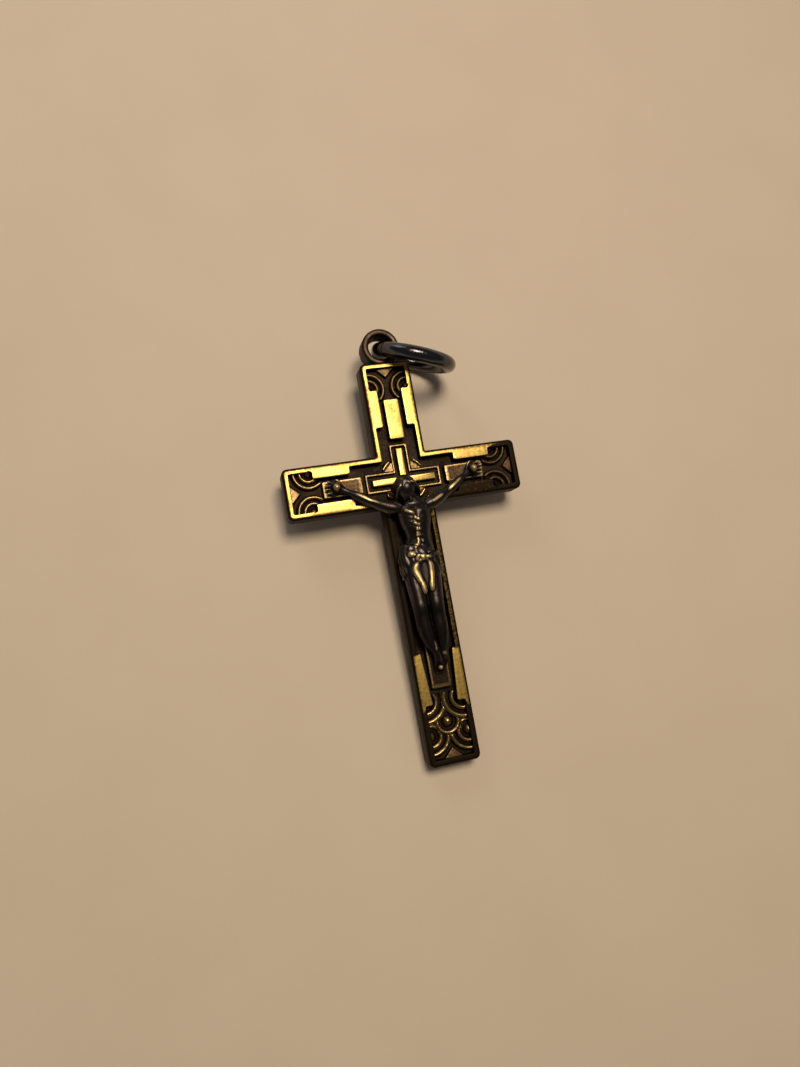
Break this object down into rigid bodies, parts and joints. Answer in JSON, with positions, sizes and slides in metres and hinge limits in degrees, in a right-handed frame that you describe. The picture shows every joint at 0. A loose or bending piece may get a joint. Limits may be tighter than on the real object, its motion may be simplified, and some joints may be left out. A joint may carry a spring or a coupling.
{
  "type": "pendant crucifix",
  "caption": "Small pendant crucifix: a stepped-border cross with a raised figure, domed nails, scale ornament in the arm ends, a hanging eye and a jump ring that swings in it.",
  "frame": {"origin": "on the flat back face, where the centre lines of the two bars cross", "axes": "+Z out of the face towards the figure's front, +Y along the post to the hanging eye, +X to the arm on the viewer's right"},
  "size_m": [0.0242, 0.0443, 0.0087],
  "materials": {
    "polished_brass": "worn polish, lightly tarnished",
    "antique_bronze": "antiqued, bright on the crests",
    "dark_bronze": "dark oxidised, worn at the edges",
    "blackened_ground": "matt oxidised",
    "gunmetal": "dark patina, polished by handling on the high points"
  },
  "bodies": {
    "cross": {"base_plate": "dark_bronze", "border_frame": "polished_brass", "ground_plate": "blackened_ground", "end_panel_head": "antique_bronze", "end_panel_left": "antique_bronze", "end_panel_right": "antique_bronze", "end_panel_foot": "antique_bronze", "title_plaque": "polished_brass", "hand_plaque_left": "antique_bronze", "hand_plaque_right": "antique_bronze", "foot_plaque": "antique_bronze", "inner_cross_outline": "antique_bronze", "inner_cross_bar": "polished_brass", "nimbus": "antique_bronze", "corpus": "gunmetal", "hand_nails": "gunmetal", "foot_nail": "gunmetal", "hanging_eye": "dark_bronze"},
    "ring": {"jump_ring": "gunmetal"}
  },
  "joints": [
    {"name": "ring_swing", "type": "hinge", "parent": "cross", "child": "ring", "pos_m": [0, 0.0139, 0.00125], "axis": [0, 0, 1], "range_deg": [-30, 245]}
  ]
}
